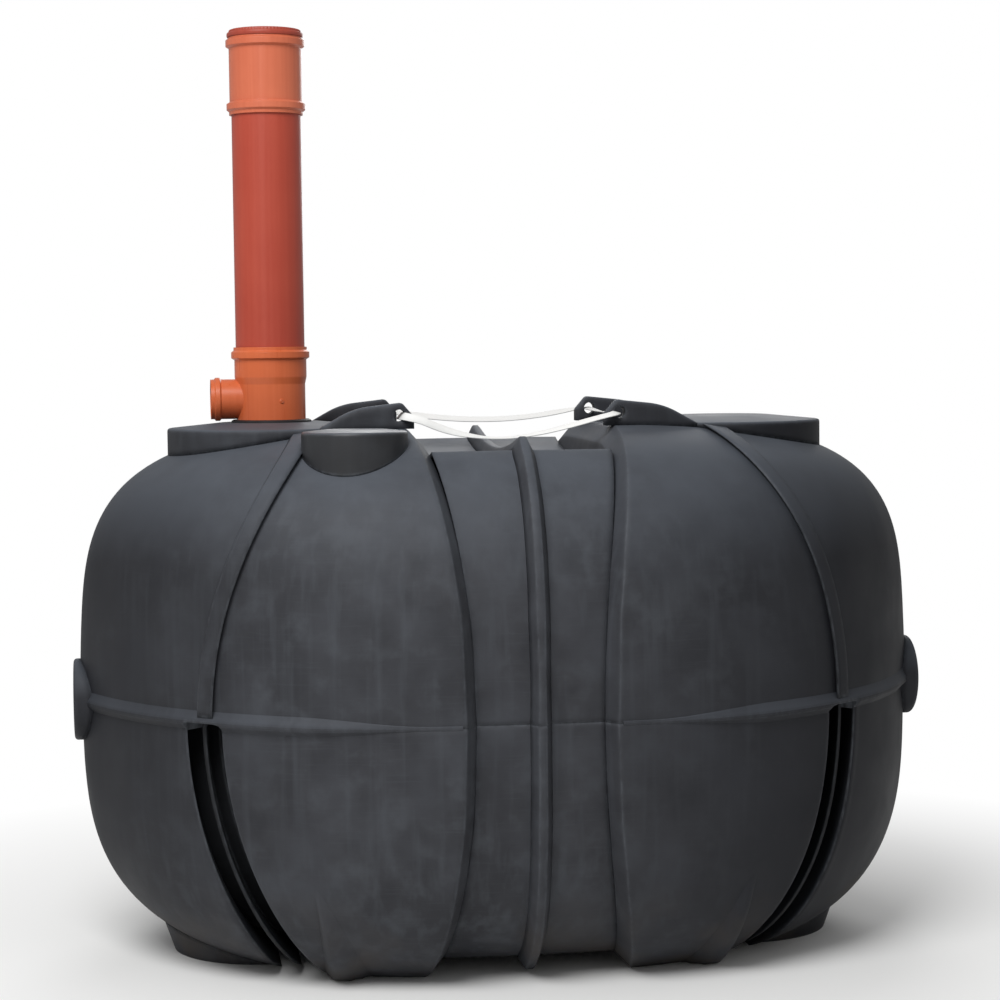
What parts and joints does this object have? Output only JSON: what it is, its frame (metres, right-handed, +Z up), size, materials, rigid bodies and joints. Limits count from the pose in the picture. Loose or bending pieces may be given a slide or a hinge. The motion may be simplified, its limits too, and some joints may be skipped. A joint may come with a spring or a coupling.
{
  "type": "holding tank",
  "caption": "Moulded plastic underground holding tank with lobed ribbed shell, lifting lugs, strap and a capped orange riser with an inlet branch.",
  "frame": {"origin": "middle of the footprint, on the ground", "axes": "+X along the tank towards the end without the riser, +Y to the back, +Z up"},
  "size_m": [2.5, 1.6554, 2.675],
  "materials": {
    "tank_plastic": "matte",
    "pipe_plastic": "satin",
    "coupler_plastic": "satin",
    "tee_plastic": "satin",
    "plug_plastic": "satin",
    "seal_rubber": "matte",
    "strap_webbing": "matte"
  },
  "bodies": {
    "root": {"front_shoulder_boss": "tank_plastic", "left_access_pad": "tank_plastic", "left_back_flute": "tank_plastic", "left_back_lug": "tank_plastic", "left_back_seam_band": "tank_plastic", "left_end_foot": "tank_plastic", "left_end_hub": "tank_plastic", "left_front_flute": "tank_plastic", "left_front_lug": "tank_plastic", "left_front_seam_band": "tank_plastic", "lifting_strap": "strap_webbing", "lower_left_channel": "tank_plastic", "lower_left_end": "tank_plastic", "lower_left_lobe": "tank_plastic", "lower_right_channel": "tank_plastic", "lower_right_end": "tank_plastic", "lower_right_lobe": "tank_plastic", "lower_ring_rib": "tank_plastic", "lower_waist": "tank_plastic", "pipe_seal": "seal_rubber", "right_access_pad": "tank_plastic", "right_back_flute": "tank_plastic", "right_back_lug": "tank_plastic", "right_back_seam_band": "tank_plastic", "right_end_foot": "tank_plastic", "right_end_hub": "tank_plastic", "right_front_flute": "tank_plastic", "right_front_lug": "tank_plastic", "right_front_seam_band": "tank_plastic", "riser_coupler": "coupler_plastic", "riser_pipe": "pipe_plastic", "riser_plug": "plug_plastic", "riser_tee": "tee_plastic", "upper_left_back_rib": "tank_plastic", "upper_left_end": "tank_plastic", "upper_left_front_rib": "tank_plastic", "upper_left_lobe": "tank_plastic", "upper_right_back_rib": "tank_plastic", "upper_right_end": "tank_plastic", "upper_right_front_rib": "tank_plastic", "upper_right_lobe": "tank_plastic", "upper_ring_rib": "tank_plastic", "upper_waist": "tank_plastic"}
  },
  "joints": []
}
